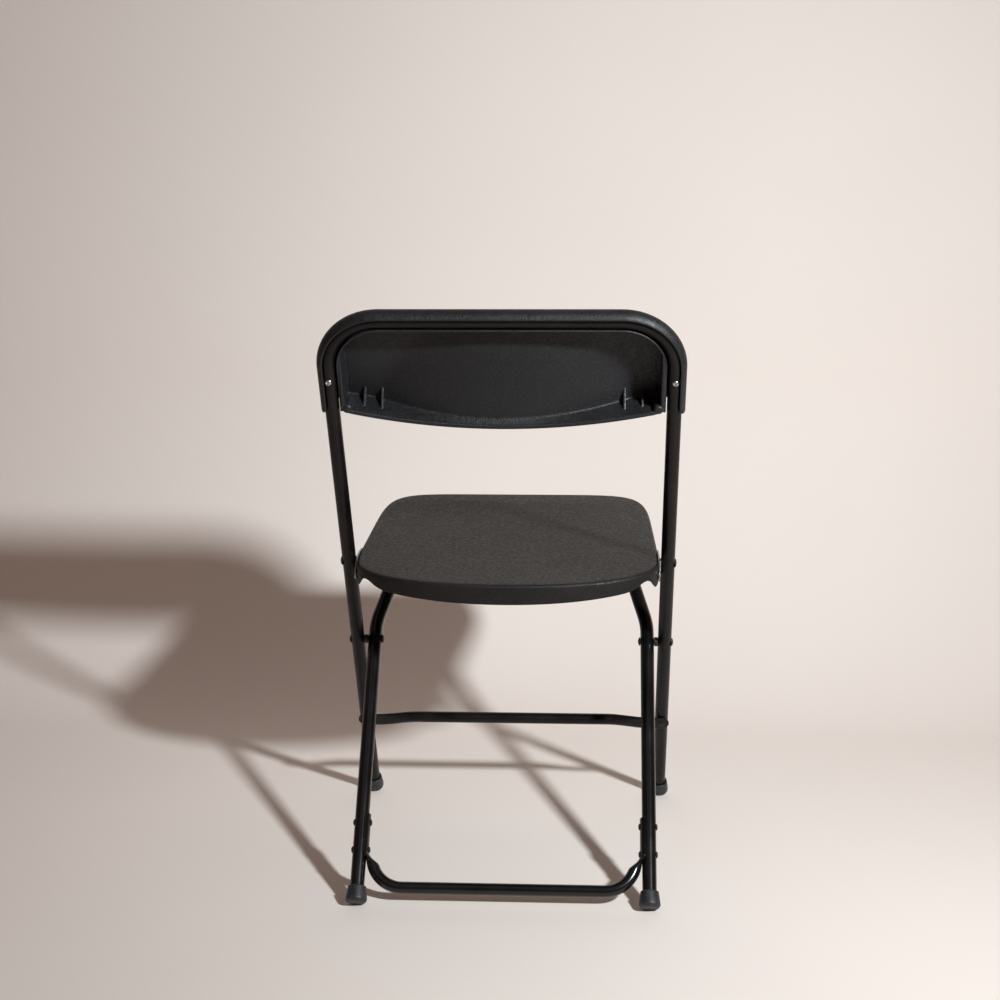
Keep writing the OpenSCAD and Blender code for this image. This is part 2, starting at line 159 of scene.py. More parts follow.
class Build:
    """Collects closed shapes, each in its own local frame, for one piece."""

    def __init__(self):
        self.verts, self.faces = [], []

    def rings(self, axes, rings):
        start = len(self.verts)
        self.verts += list(axes.place(np.array(rings, float).reshape(-1, 3)))
        self.faces += ring_faces(len(rings), len(rings[0]), start)

    def both_sides(self, axes, rings):
        for side in SIDES:
            self.rings(axes, np.array(rings, float) * (side, 1, 1))

    def lathe(self, axes, at, direction, profile, spin=ROUND):
        """Turns (radius, height) points round `direction` through `at`, both local."""
        d = np.array(direction, float) / np.linalg.norm(direction)
        u = np.cross(d, (0, 0, 1) if abs(d[2]) < 0.9 else (0, 1, 0))
        u /= np.linalg.norm(u)
        w = np.cross(d, u)
        at = np.array(at, float)
        self.rings(axes, [[at + d * h + r * (math.cos(t) * u + math.sin(t) * w) for t in spin]
                          for r, h in profile])

    def box(self, axes, low, high, bevel):
        """Box with chamfered edges along its longest side."""
        low, high = np.array(low, float), np.array(high, float)
        long = int(np.argmax(high - low))
        a, b = [i for i in range(3) if i != long]
        c = min(bevel, (high - low).min() / 3)
        outline = [(low[a] + c, low[b]), (high[a] - c, low[b]), (high[a], low[b] + c),
                   (high[a], high[b] - c), (high[a] - c, high[b]), (low[a] + c, high[b]),
                   (low[a], high[b] - c), (low[a], low[b] + c)]
        middle = np.array([(low[a] + high[a]) / 2, (low[b] + high[b]) / 2])
        rings = []
        for along, inset in ((low[long], c), (low[long] + c, 0), (high[long] - c, 0), (high[long], c)):
            ring = []
            for p in outline:
                q = np.array(p) - np.sign(np.array(p) - middle) * inset
                point = [0, 0, 0]
                point[a], point[b], point[long] = q[0], q[1], along
                ring.append(point)
            rings.append(ring)
        self.rings(axes, rings)

    def piece(self, name, sharp):
        return mesh_piece(name, self.verts, self.faces, sharp)


def bent_path(corners, radii, step=math.radians(3)):
    """Centre line in the local XZ plane: straight runs joined by round bends at the inner corners."""
    pts = [np.array(c, float) for c in corners]
    path = [pts[0]]
    for i, r in enumerate(radii, start=1):
        into = (pts[i] - pts[i - 1]) / np.linalg.norm(pts[i] - pts[i - 1])
        out = (pts[i + 1] - pts[i]) / np.linalg.norm(pts[i + 1] - pts[i])
        turn = math.acos(np.clip(into @ out, -1, 1))
        run = r * math.tan(turn / 2)
        side = out - into * (into @ out)
        side /= np.linalg.norm(side)
        start = pts[i] - into * run
        n = max(2, math.ceil(turn / step))
        for k in range(n + 1):
            t = turn * k / n
            path.append(start + into * r * math.sin(t) + side * r * (1 - math.cos(t)))
    path.append(pts[-1])
    return np.array(path)


def sweep(path, section):
    """Rings of a section carried along a path in the XZ plane. section is points or f(point)."""
    tangent = np.gradient(path, axis=0)
    tangent /= np.linalg.norm(tangent, axis=1)[:, None]
    rings = []
    for p, t in zip(path, tangent):
        s = np.array(section(p) if callable(section) else section, float)
        rings.append([(p[0] + a * t[1], b, p[1] - a * t[0]) for a, b in s])
    return rings


def circle(r):
    return [(r * math.cos(t), r * math.sin(t)) for t in ROUND]


def finish_piece(obj, body, slot, material, *nodes):
    obj.data.materials.clear()
    obj.data.materials.append(material)
    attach(obj, body)
    if nodes:
        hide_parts(*nodes)
    return obj


# ---------- materials ----------
STEEL_DUST = (0.16, 0.15, 0.14)
BARE_STEEL = (0.30, 0.29, 0.28)
SETTLED_DUST = (0.15, 0.135, 0.125)
RUBBED_PLASTIC = (0.12, 0.12, 0.125)
SCUFFED_RUBBER = (0.17, 0.17, 0.18)
WORN_ZINC = (0.92, 0.93, 0.95)


class Paint:
    """A node material under construction, on a Principled shader."""

    def __init__(self, name):
        self.mat = bpy.data.materials.new(name)
        self.mat.use_nodes = True
        self.tree = self.mat.node_tree
        self.shader = self.tree.nodes["Principled BSDF"]
        self.coords = self.tree.nodes.new("ShaderNodeTexCoord").outputs["Object"]
        self.height = None

    def node(self, kind, inputs=None, **settings):
        n = self.tree.nodes.new(kind)
        for key, value in settings.items():
            setattr(n, key, value)
        for key, value in (inputs or {}).items():
            if isinstance(value, bpy.types.NodeSocket):
                self.tree.links.new(value, n.inputs[key])
            else:
                n.inputs[key].default_value = value
        return n

    def stretched(self, scale):
        return self.node("ShaderNodeMapping", {"Vector": self.coords, "Scale": scale}).outputs["Vector"]

    def noise(self, scale, detail=4, rough=0.55, vector=None):
        n = self.node("ShaderNodeTexNoise", {"Vector": vector or self.coords, "Scale": scale,
                                             "Detail": detail, "Roughness": rough})
        return n.outputs["Fac"]

    def math(self, kind, a, b=0.0):
        return self.node("ShaderNodeMath", {0: a, 1: b}, operation=kind).outputs[0]

    def ramp(self, value, low, high, to_low=0.0, to_high=1.0):
        n = self.node("ShaderNodeMapRange", {"Value": value, "From Min": low, "From Max": high,
                                             "To Min": to_low, "To Max": to_high})
        n.interpolation_type = "SMOOTHSTEP"
        return n.outputs["Result"]

    def mix(self, fac, a, b):
        n = self.node("ShaderNodeMix", data_type="RGBA")
        for socket, value in ((n.inputs[0], fac), (n.inputs[6], a), (n.inputs[7], b)):
            if isinstance(value, bpy.types.NodeSocket):
                self.tree.links.new(value, socket)
            else:
                socket.default_value = (*value, 1) if isinstance(value, tuple) else value
        return n.outputs[2]

    def edges(self, radius):
        """1 on convex edges, 0 on flat faces."""
        bevel = self.node("ShaderNodeBevel", {"Radius": radius}, samples=6).outputs["Normal"]
        flat = self.node("ShaderNodeNewGeometry").outputs["Normal"]
        dot = self.node("ShaderNodeVectorMath", {0: bevel, 1: flat}, operation="DOT_PRODUCT")
        return self.ramp(dot.outputs["Value"], 0.999, 0.90)

    def upward(self):
        """1 where the surface faces up, for settled dust."""
        normal = self.node("ShaderNodeNewGeometry").outputs["Normal"]
        z = self.node("ShaderNodeSeparateXYZ", {0: normal}).outputs["Z"]
        return self.ramp(z, 0.25, 1.0)

    def bump(self, height, distance, strength=1.0):
        inputs = {"Height": height, "Distance": distance, "Strength": strength}
        if self.height is not None:
            inputs["Normal"] = self.height
        self.height = self.node("ShaderNodeBump", inputs).outputs["Normal"]

    def done(self, color=None, rough=None, metallic=None, **constants):
        s = self.shader
        for key, value in (("Base Color", color), ("Roughness", rough), ("Metallic", metallic)):
            if isinstance(value, bpy.types.NodeSocket):
                self.tree.links.new(value, s.inputs[key])
            elif value is not None:
                s.inputs[key].default_value = (*value, 1) if isinstance(value, tuple) else value
        if self.height is not None:
            self.tree.links.new(self.height, s.inputs["Normal"])
        for key, value in constants.items():
            s.inputs[key.replace("_", " ")].default_value = value
        return self.mat


def coated_steel(name, dark, light, rough, dust, sheen=0.28, coat=0.0):
    """Black powder coat: orange peel, faint drawn lines along the tube, scuffs and dust."""
    p = Paint(name)
    cloud = p.noise(14, 3)
    fine = p.noise(900, 2)
    scratch = p.ramp(p.noise(260, 6, 0.7, p.stretched((1, 1, 0.06))), 0.66, 0.78)
    chip = p.math("MULTIPLY", p.edges(0.0006), p.ramp(p.noise(420, 4), 0.56, 0.66))
    color = p.mix(p.ramp(cloud, 0.35, 0.68), dark, light)
    speck = p.ramp(p.noise(1500, 2), 0.70, 0.80, 0, dust)
    color = p.mix(p.math("MAXIMUM", speck, p.math("MULTIPLY", scratch, 0.16)), color, STEEL_DUST)
    color = p.mix(p.math("MULTIPLY", chip, 0.75), color, BARE_STEEL)
    low, high = rough
    r = p.math("ADD", p.ramp(cloud, 0.3, 0.7, low, high), p.math("MULTIPLY", scratch, 0.16))
    r = p.math("ADD", r, p.math("MULTIPLY", p.ramp(fine, 0.3, 0.7), 0.05))
    p.bump(p.noise(520, 2), 0.00006, 0.35)
    p.bump(fine, 0.00003, 0.25)
    return p.done(color, r, Coat_Weight=coat, Coat_Roughness=0.12, Specular_IOR_Level=sheen)


def grained_plastic(name, dark, light, rough, grain, depth, dust, sheen=0.38):
    """Moulded polypropylene with a leather-like spark-eroded grain."""
    p = Paint(name)
    warp = p.node("ShaderNodeMix", data_type="VECTOR")
    wobble = p.node("ShaderNodeTexNoise", {"Vector": p.coords, "Scale": grain * 0.9, "Detail": 2.0})
    p.tree.links.new(p.coords, warp.inputs[4])
    p.tree.links.new(wobble.outputs["Color"], warp.inputs[5])
    warp.inputs[0].default_value = 0.0006
    cell = p.node("ShaderNodeTexVoronoi", {"Vector": warp.outputs[1], "Scale": grain,
                                           "Smoothness": 0.35}, feature="SMOOTH_F1").outputs["Distance"]
    pebble = p.ramp(cell, 0.05, 0.62, 1, 0)
    coarse = p.noise(grain * 0.33, 3, 0.6)
    fine = p.noise(grain * 2.6, 3, 0.6)
    cloud = p.noise(9, 4, 0.5)
    color = p.mix(p.ramp(cloud, 0.36, 0.66), dark, light)
    # painted highlight: bright specks on the fine noise, 3.2 times the light tone, stand in for light
    # sparkling on the grain
    color = p.mix(p.ramp(fine, 0.50, 0.74, 0, 0.6), color, tuple(3.2 * c for c in light))
    # painted shade: the grooves between the pebbles, the low parts of the bump, are darkened to under half
    # the dark tone
    color = p.mix(p.math("MULTIPLY", p.ramp(pebble, 0.35, 0.0), 0.5), color, tuple(0.45 * c for c in dark))
    settled = p.math("MULTIPLY", p.upward(), p.ramp(p.noise(38, 5, 0.65), 0.42, 0.75, 0.25, 1.0))
    color = p.mix(p.math("MULTIPLY", settled, dust), color, SETTLED_DUST)
    rub = p.edges(0.0012)
    color = p.mix(p.math("MULTIPLY", rub, p.ramp(coarse, 0.3, 0.7, 0.05, 0.35)), color, RUBBED_PLASTIC)
    low, high = rough
    r = p.math("ADD", p.ramp(coarse, 0.3, 0.7, low, high), p.math("MULTIPLY", p.ramp(fine, 0.3, 0.7), 0.08))
    r = p.math("SUBTRACT", r, p.math("MULTIPLY", rub, 0.10))
    p.bump(p.math("ADD", pebble, p.math("MULTIPLY", coarse, 0.9)), depth, 0.8)
    p.bump(fine, depth * 0.35, 0.6)
    return p.done(color, r, Specular_IOR_Level=sheen)


def scuffed_rubber(name):
    p = Paint(name)
    cloud = p.noise(60, 5, 0.6)
    speck = p.noise(900, 3, 0.6)
    color = p.mix(p.ramp(cloud, 0.35, 0.7), (0.012, 0.012, 0.014), (0.026, 0.027, 0.031))
    streak = p.ramp(p.noise(150, 6, 0.75, p.stretched((1, 1, 0.35))), 0.56, 0.72)
    height = p.node("ShaderNodeSeparateXYZ", {0: p.coords}).outputs["Z"]
    near_floor = p.ramp(height, 0.016, 0.001)
    scuff = p.math("MULTIPLY", streak, p.math("ADD", p.math("MULTIPLY", near_floor, 0.75), 0.15))
    rub = p.math("MULTIPLY", p.edges(0.0012), p.ramp(speck, 0.35, 0.65, 0.2, 0.8))
    color = p.mix(p.math("MAXIMUM", scuff, p.math("MULTIPLY", rub, 0.7)), color, SCUFFED_RUBBER)
    r = p.math("ADD", p.ramp(cloud, 0.3, 0.7, 0.40, 0.58), p.math("MULTIPLY", scuff, 0.2))
    p.bump(speck, 0.00005, 0.5)
    p.bump(cloud, 0.00012, 0.4)
    return p.done(color, r, Specular_IOR_Level=0.45)


def bright_zinc(name, tint, rough):
    """Zinc plate: blue-white, faintly mottled, with rolled lines and brighter worn edges."""
    p = Paint(name)
    mottle = p.noise(240, 5, 0.6)
    lines = p.noise(900, 3, 0.6, p.stretched((0.12, 1, 1)))
    color = p.mix(p.ramp(mottle, 0.38, 0.68), tuple(0.72 * c for c in tint), tint)
    color = p.mix(p.math("MULTIPLY", p.edges(0.0004), 0.6), color, WORN_ZINC)
    low, high = rough
    r = p.ramp(mottle, 0.35, 0.7, low, high)
    p.bump(lines, 0.00003, 0.35)
    p.bump(mottle, 0.00005, 0.25)
    return p.done(color, r, metallic=1.0)


FRAME_PAINT = coated_steel("frame_powder_coat", (0.0034, 0.0024, 0.0022), (0.0066, 0.0050, 0.0046),
                           (0.24, 0.34), 0.05, sheen=0.22)
LEG_PAINT = coated_steel("leg_gloss_coat", (0.0028, 0.0025, 0.0026), (0.0052, 0.0046, 0.0048),
                         (0.14, 0.22), 0.03, sheen=0.40, coat=0.12)
RIVET_PAINT = coated_steel("rivet_coat", (0.006, 0.0054, 0.0054), (0.010, 0.009, 0.009), (0.22, 0.34), 0.08)
SEAT_PLASTIC = grained_plastic("seat_grain", (0.0062, 0.0058, 0.0062), (0.0118, 0.0090, 0.0082),
                               (0.38, 0.56), 640, 0.00022, 0.06, sheen=0.24)
BACK_PLASTIC = grained_plastic("backrest_grain", (0.0050, 0.0049, 0.0056), (0.0098, 0.0096, 0.0118),
                               (0.36, 0.54), 560, 0.00026, 0.03, sheen=0.42)
BUSH_PLASTIC = grained_plastic("bush_plastic", (0.010, 0.010, 0.011), (0.016, 0.016, 0.017),
                               (0.24, 0.34), 1400, 0.00003, 0.0)
FOOT_RUBBER = scuffed_rubber("foot_rubber")
ZINC = bright_zinc("screw_zinc", (0.70, 0.72, 0.76), (0.18, 0.34))
# painted shade: a darker, duller copy of the screws' zinc, so that the seat brackets and glide rails stay
# dim
SHADED_BRACKET_ZINC = bright_zinc("bracket_zinc_painted_shade", (0.40, 0.41, 0.44), (0.30, 0.48))


# ---------- tubes ----------
def tube(name, axes, path, radius, body, slot, material, node):
    b = Build()
    b.rings(axes, sweep(path, circle(radius)))
    return finish_piece(b.piece(name, 60), body, slot, material, node)


def cap_lift(lean):
    """Distance from the floor point of a leg axis to the bottom of its cap."""
    reach = (CAP_R - CAP_EDGE_R) * math.sin(lean) + CAP_EDGE_R - CAP_BITE
    return reach / math.cos(lean) - CAP_EDGE_R


upright_low = cap_lift(LEAN) + CAP_FLOOR
tube("upright_tube", UPRIGHTS,
     bent_path([(-HALF_UP, upright_low), (-HALF_UP, HOOP_LEN), (HALF_UP, HOOP_LEN),
                (HALF_UP, upright_low)], [HOOP_BEND_R] * 2),
     TUBE_R, "front_frame", "frame_tube", FRAME_PAINT, "upright_hoop")

CROSSBAR_REACH = 0.165      # crossbar beyond the leg pivot
CROSSBAR_BEND_R = 0.05
SHOULDER_ANGLE = math.asin(0.28)
SHOULDER_R = 0.1
SHOULDER_AT = 0.012         # where the legs start to lean inward, beyond the pivot
LEG_FLOOR = -B[2] / math.cos(LEG_LEAN)
shoulder_z = SHOULDER_AT + SHOULDER_R * math.tan(SHOULDER_ANGLE / 2)
crossbar_x = HALF_LEG - (CROSSBAR_REACH - shoulder_z) * math.tan(SHOULDER_ANGLE)
leg_low = LEG_FLOOR + cap_lift(LEG_LEAN) + CAP_FLOOR
tube("rear_leg_tube", LEGS,
     bent_path([(-HALF_LEG, leg_low), (-HALF_LEG, shoulder_z), (-crossbar_x, CROSSBAR_REACH),
                (crossbar_x, CROSSBAR_REACH), (HALF_LEG, shoulder_z), (HALF_LEG, leg_low)],
               [SHOULDER_R, CROSSBAR_BEND_R, CROSSBAR_BEND_R, SHOULDER_R]),
     TUBE_R, "rear_legs", "leg_tube", LEG_PAINT, "rear_leg_hoop")


# ---------- stretchers ----------
def front_stretcher():
    """Round tube whose ends flatten into tabs that lie on the back of the uprights."""
    tab_half, flat_in, round_in = 0.0105, 0.199, 0.138
    rear = TUBE_R + TAB_T

    def half(x):
        to_flat = smoothstep((x - round_in) / (flat_in - round_in))
        end = max(0.0, x - HALF_UP)
        wide = STRETCHER_R + (tab_half - STRETCHER_R) * to_flat
        wide = math.sqrt(max(wide ** 2 - end ** 2, 1e-8))
        thick = STRETCHER_R + (TAB_T / 2 - STRETCHER_R) * to_flat
        blunt_y, blunt_z = 1 - 0.72 * to_flat, 1 - 0.35 * to_flat
        return [(x, rear - thick + thick * np.sign(math.cos(t)) * abs(math.cos(t)) ** blunt_y,
                 STRETCHER_AT + wide * np.sign(math.sin(t)) * abs(math.sin(t)) ** blunt_z)
                for t in ROUND]

    xs = np.concatenate([np.linspace(0, round_in, 5), np.linspace(round_in, flat_in, 25)[1:],
                         [HALF_UP - 0.004, HALF_UP],
                         HALF_UP + tab_half * np.sin(np.linspace(0.1, math.pi / 2, 14))])
    xs[-1] = HALF_UP + tab_half - 0.00002       # a little short, so that the last ring has a width
    rings = [half(x) for x in xs]
    mirrored = [[(-x, y, z) for x, y, z in ring] for ring in rings[:0:-1]]
    b = Build()
    b.rings(UPRIGHTS, mirrored + rings)
    return finish_piece(b.piece("front_stretcher_tube", 50), "front_frame", "frame_tube", FRAME_PAINT,
                        "front_stretcher")


def rear_stretcher():
    """U-shaped tube whose upright ends are crushed to a saddle round the inside of the legs."""
    drop, bend_r = 0.3605, 0.042
    saddle_top, saddle_full, saddle_start = -0.261, -0.312, -0.334
    wall, wrap, clear, step = 0.0026, math.radians(64), 0.0001, 0.003
    run = HALF_LEG - TUBE_R - STRETCHER_R
    path = bent_path([(-run, saddle_top), (-run, -drop), (run, -drop), (run, saddle_top)], [bend_r] * 2)
    dense = []
    for p, q in zip(path[:-1], path[1:]):
        n = max(1, int(np.linalg.norm(q - p) / step)) if max(p[1], q[1]) > saddle_start else 1
        dense += [p + (q - p) * k / n for k in range(n)]
    path = np.array(dense + [path[-1]])
    leg_at = TUBE_R + STRETCHER_R               # the leg's centre line, outward from the tube's own

    def section(p):
        """Round section in the U; a crescent of double wall against the leg at its ends."""
        blend = float(smoothstep((p[1] - saddle_start) / (saddle_full - saddle_start)))
        points = []
        for t in ROUND + math.pi / len(ROUND):
            a, y = STRETCHER_R * math.cos(t), STRETCHER_R * math.sin(t)
            across = math.asin(math.sin(t)) / (math.pi / 2) * wrap
            r = TUBE_R + clear + (wall if math.cos(t) < 0 else 0)
            crushed_a, crushed_y = leg_at - r * math.cos(across), r * math.sin(across)
            points.append((a + (crushed_a - a) * blend, y + (crushed_y - y) * blend))
        return points

    b = Build()
    b.rings(LEGS, sweep(path, section))
    return finish_piece(b.piece("rear_stretcher_tube", 50), "rear_legs", "leg_tube", LEG_PAINT,
                        "rear_stretcher")


front_stretcher()
rear_stretcher()


# ---------- feet ----------
def foot(name, axes, x, base, body, node):
    """Tapered rubber cap with a rolled mouth, worn flat where it meets the floor."""
    edge = [(CAP_R - CAP_EDGE_R + CAP_EDGE_R * math.sin(a), CAP_EDGE_R * (1 - math.cos(a)))
            for a in np.linspace(0, math.pi / 2, 10)]
    side_top = CAP_LEN - 0.0012
    side = [(CAP_R + (CAP_TOP_R - CAP_R) * t ** 1.15, CAP_EDGE_R + (side_top - CAP_EDGE_R) * t)
            for t in np.linspace(0.08, 1, 10)]
    bore_r = TUBE_R + 0.0001
    mouth = [(CAP_TOP_R - 0.0002, CAP_LEN - 0.0004), (CAP_TOP_R - 0.0008, CAP_LEN),
             (TUBE_R + 0.0007, CAP_LEN), (bore_r, CAP_LEN - 0.0006), (bore_r, CAP_FLOOR)]
    b = Build()
    b.lathe(axes, (x, 0, base), (0, 0, 1), [(0.0001, 0)] + edge + side + mouth, around(64))
    obj = b.piece(name, 50)
    bm = bmesh.new()
    bm.from_mesh(obj.data)
    everything = bm.verts[:] + bm.edges[:] + bm.faces[:]
    cut = bmesh.ops.bisect_plane(bm, geom=everything, plane_co=(0, 0, 0), plane_no=(0, 0, -1),
                                 clear_outer=True)
    worn = [e for e in cut["geom_cut"] if isinstance(e, bmesh.types.BMEdge)]
    bmesh.ops.contextual_create(bm, geom=worn)
    bm.to_mesh(obj.data)
    bm.free()
    smooth(obj, 50)
    return finish_piece(obj, body, "foot_rubber", FOOT_RUBBER, node)


for side, word in zip(SIDES, ("left", "right")):
    foot(f"front_{word}_cap", UPRIGHTS, side * HALF_UP, cap_lift(LEAN), "front_frame",
         f"front_{word}_foot")
    foot(f"rear_{word}_cap", LEGS, side * HALF_LEG, LEG_FLOOR + cap_lift(LEG_LEAN), "rear_legs",
         f"rear_{word}_foot")


# ---------- rivets, washers and screws ----------
def head_profile(r, h, collar=0.0004):
    """Domed head from its rim on the metal up to the middle, with a small spun dimple."""
    arc = [(r * math.cos(a), collar + (h - collar) * math.sin(a)) for a in np.linspace(0, 1.32, 9)]
    return [(r * 0.97, 0), (r, collar * 0.5)] + arc + [(r * 0.16, h * 0.97), (0.00005, h * 0.90)]


def rivet(b, axes, start, end, shank_r, head_r, head_h, start_head_r=None):
    """Shank from start to end with a formed head on each, in one closed shape."""
    start, end = np.array(start, float), np.array(end, float)
    length = np.linalg.norm(end - start)
    far = [(r, length + h) for r, h in head_profile(head_r, head_h)]
    near = [(r, -h) for r, h in head_profile(start_head_r or head_r, head_h)][::-1]
    b.lathe(axes, start, end - start, near + [(shank_r, 0), (shank_r, length)] + far)


def spacer(b, side, near, far, at, r, edge):
    """Ring round a pivot, from one plane across the chair to another, with its outer edges broken."""
    bore_r, long = 0.0041, far - near
    profile = [(bore_r, 0), (r - edge, 0), (r, edge), (r, long - edge), (r - edge, long), (bore_r, long)]
    b.lathe(UPRIGHTS, (side * near, 0, at), (side, 0, 0), profile)


def pivots():
    shank_r, sunk = 0.004, 0.0006               # sunk: how far a head enters the round of the tube
    outer = HALF_UP + TUBE_R - sunk
    b = Build()
    inner = SEAT_HALF - SEAT_WALL - TURN_GAP
    for side in SIDES:
        rivet(b, UPRIGHTS, (side * inner, 0, SEAT_PIVOT_LEN), (side * outer, 0, SEAT_PIVOT_LEN),
              shank_r, 0.0065, 0.0030, 0.0045)
    finish_piece(b.piece("seat_pivot_rivet_pair", 35), "front_frame", "black_rivets", RIVET_PAINT,
                 "seat_pivot_rivets")
    b = Build()
    inner = HALF_LEG - TUBE_R - TURN_GAP
    for side in SIDES:
        rivet(b, UPRIGHTS, (side * inner, 0, LEG_PIVOT_LEN), (side * outer, 0, LEG_PIVOT_LEN),
              shank_r, 0.006, 0.0032)
    finish_piece(b.piece("leg_pivot_rivet_pair", 35), "front_frame", "black_rivets", RIVET_PAINT,
                 "leg_pivot_rivets")
    bush, washer = Build(), Build()
    bush_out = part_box("leg_pivot_spacers")[1].x
    for side in SIDES:
        spacer(bush, side, HALF_LEG + TUBE_R + TURN_GAP, bush_out, LEG_PIVOT_LEN, 0.0065, 0.0005)
        spacer(washer, side, SEAT_HALF + 2 * TURN_GAP + BRACKET_T, HALF_UP - TUBE_R, SEAT_PIVOT_LEN,
               0.007, 0.0003)
    finish_piece(bush.piece("leg_pivot_bush_pair", 35), "front_frame", "spacer_plastic", BUSH_PLASTIC,
                 "leg_pivot_spacers")
    finish_piece(washer.piece("seat_pivot_washer_pair", 35), "front_frame", "zinc_hardware", ZINC,
                 "seat_pivot_washers")


def stretcher_rivets():
    b = Build()
    for side in SIDES:
        x = side * HALF_UP
        rivet(b, UPRIGHTS, (x, -TUBE_R + 0.0006, STRETCHER_AT), (x, TUBE_R + TAB_T, STRETCHER_AT),
              SMALL_SHANK_R, 0.0045, 0.0022)
    finish_piece(b.piece("front_stretcher_rivet_pair", 35), "front_frame", "black_rivets", RIVET_PAINT,
                 "front_stretcher_rivets")
    b = Build()
    inner, outer = HALF_LEG - TUBE_R - 0.0024, HALF_LEG + TUBE_R - 0.0004
    for side in SIDES:
        for z in (-0.272, -0.310):
            rivet(b, LEGS, (side * inner, 0, z), (side * outer, 0, z), SMALL_SHANK_R, 0.0046, 0.0025)
    finish_piece(b.piece("rear_stretcher_rivet_set", 35), "rear_legs", "black_rivets", RIVET_PAINT,
                 "rear_stretcher_rivets")


def cross_head_screws():
    """Round-headed screws with a tapered cross recess, let slightly into the back of the tube."""
    head_r, head_h, brim = 0.0042, 0.0024, 0.0005
    slot, depth, arm_reach, soft = 0.0006, 0.0017, 0.00255, 0.00012
    shank_ends = (-0.012, TUBE_R - 0.0002)
    spin = around(64)

    def recess(x, y):
        """Depth of the cross below the dome at a point of the head."""
        reach, across = max(abs(x), abs(y)), min(abs(x), abs(y))
        arm = smoothstep((slot + soft - across) / (2 * soft)) * smoothstep((arm_reach - reach) / 0.0004)
        return depth * float(arm) * float(np.clip(1.25 - reach / 0.0024, 0.15, 1))

    b = Build()
    for side in SIDES:
        at = side * HALF_UP
        rings = [[(at + SMALL_SHANK_R * math.cos(t), y, SCREW_AT + SMALL_SHANK_R * math.sin(t))
                  for t in spin] for y in shank_ends]
        radii = np.concatenate([[head_r * 0.96, head_r], head_r * np.cos(np.linspace(0.12, 1.5, 34))])
        for k, r in enumerate(radii):
            dome = brim + (head_h - brim) * math.sqrt(max(0, 1 - (r / head_r) ** 2)) ** 1.1 if k else 0
            ring = []
            for t in spin:
                x, y = r * math.cos(t), r * math.sin(t)
                ring.append((at + x, TUBE_R + dome - recess(x, y) * (k > 1), SCREW_AT + y))
            rings.append(ring)
        b.rings(UPRIGHTS, rings)
    finish_piece(b.piece("backrest_screw_pair", 30), "front_frame", "zinc_hardware", ZINC,
                 "backrest_screws")


pivots()
stretcher_rivets()
cross_head_screws()


# ---------- seat ----------
SEAT_TOP = 0.008            # seat surface above the pivot
SEAT_LOW = -0.020           # lower edge of the skirt
SEAT_FRONT = 0.294
SEAT_REAR = 0.117
SEAT_EDGE_R = 0.0050        # rounding of the top edge
RIB_LOW = -0.009
RAIL_AT = 0.075             # glide rails, from the middle
RAIL_HALF = 0.009
RAIL_FROM, RAIL_TO = -0.190, -0.002


def seat_outline():
    """Half outline from the middle of the front edge round the +X side to the middle of the rear."""
    front_from, rear_from, taper = 0.045, 0.020, 0.010
    front_power, rear_power = 2 / 7, 2 / 2.2
    points = []
    for a in np.linspace(math.pi / 2, 0, 400):
        u = math.sin(a) ** front_power
        points.append(((SEAT_HALF - taper * u) * math.cos(a) ** front_power,
                       -front_from - (SEAT_FRONT - front_from) * u))
    for a in np.linspace(0, math.pi / 2, 400):
        points.append((SEAT_HALF * math.cos(a) ** rear_power,
                       rear_from + (SEAT_REAR - rear_from) * math.sin(a) ** rear_power))
    points = np.array(points)
    points[0, 0] = points[-1, 0] = 0
    run = np.concatenate([[0], np.cumsum(np.linalg.norm(np.diff(points, axis=0), axis=1))])
    even = np.linspace(0, run[-1], 120)
    return np.column_stack([np.interp(even, run, points[:, k]) for k in (0, 1)])


HALF_OUTLINE = seat_outline()
OUTLINE = np.vstack([HALF_OUTLINE, HALF_OUTLINE[-2:0:-1] * (-1, 1)])
ahead, behind = np.roll(OUTLINE, -1, axis=0), np.roll(OUTLINE, 1, axis=0)
tangent = ahead - behind
tangent /= np.linalg.norm(tangent, axis=1)[:, None]
OUTWARD = np.column_stack([-tangent[:, 1], tangent[:, 0]])
if (OUTWARD * OUTLINE).sum() < 0:
    OUTWARD = -OUTWARD


def inset_outline(inset):
    return OUTLINE - OUTWARD * inset


def skirt_low(points):
    """Lower edge of the skirt: arched along the rear, with a notch in each rear corner for the leg."""
    x, y = abs(points[:, 0]), points[:, 1]
    arch_to, arch = 0.160, 0.24
    notch = np.interp(x, [arch_to, 0.166, 0.176, 0.181, 0.186, 0.190, 0.194, 0.1985, 0.2005],
                      [-0.0139, -0.0128, -0.0092, -0.0058, -0.0042, -0.0046, -0.0076, -0.0165, SEAT_LOW])
    return np.where(y > 0.030, np.where(x < arch_to, SEAT_LOW + arch * x * x, notch), SEAT_LOW)


def dish(x, y):
    """How far the seat surface lies below the plane of its edge."""
    sag = 0.0050 * np.clip(1 - (x / 0.190) ** 2, 0, 1) ** 1.2
    along = np.clip(1 - ((y + 0.060) / 0.190) ** 2, 0, 1) ** 1.1
    waterfall = 0.0006 * smoothstep((-y - 0.245) / 0.049)
    return sag * along + waterfall


